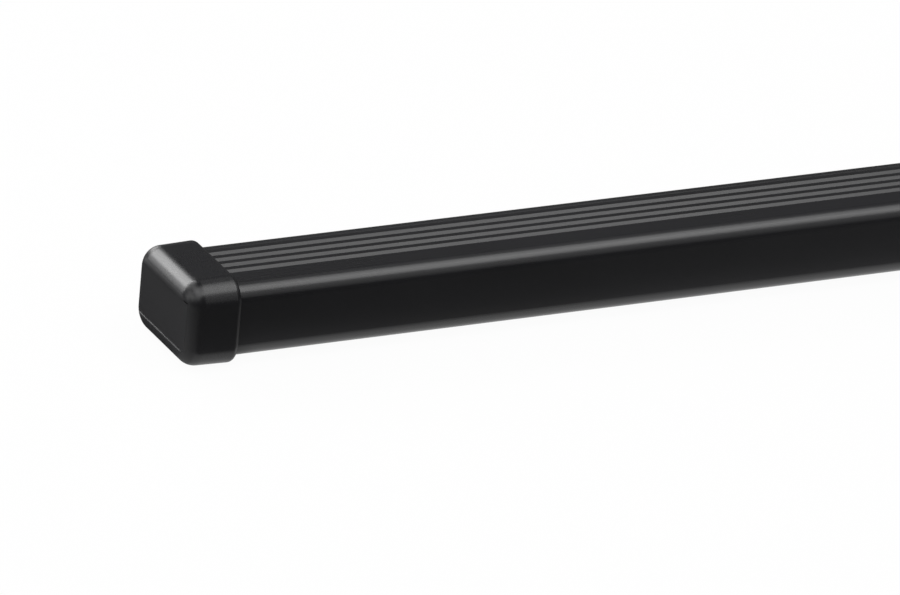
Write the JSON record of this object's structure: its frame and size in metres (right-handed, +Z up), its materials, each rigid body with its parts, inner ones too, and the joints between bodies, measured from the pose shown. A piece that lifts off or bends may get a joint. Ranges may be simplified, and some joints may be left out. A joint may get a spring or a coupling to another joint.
{
  "type": "roof rack crossbar",
  "caption": "Straight rectangular roof rack crossbar with a grooved top and a moulded cap on each end; clamped across a vehicle's roof to carry loads.",
  "frame": {"origin": "under the middle of the bar, level with the lowest edges of the end caps", "axes": "+X runs along the bar, +Z is up with the grooved top facing it, and the plain margin of the top is on the -Y side"},
  "size_m": [1.18, 0.0368, 0.0264],
  "materials": {
    "galvanised_steel": "zinc-coated steel, hidden inside the cover",
    "cover_plastic": "satin black, extruded",
    "cap_plastic": "satin black, moulded, with a fine grain"
  },
  "bodies": {
    "root": {"steel_tube": "galvanised_steel", "ribbed_cover": "cover_plastic", "end_cap_left": "cap_plastic", "end_cap_right": "cap_plastic"}
  },
  "joints": []
}
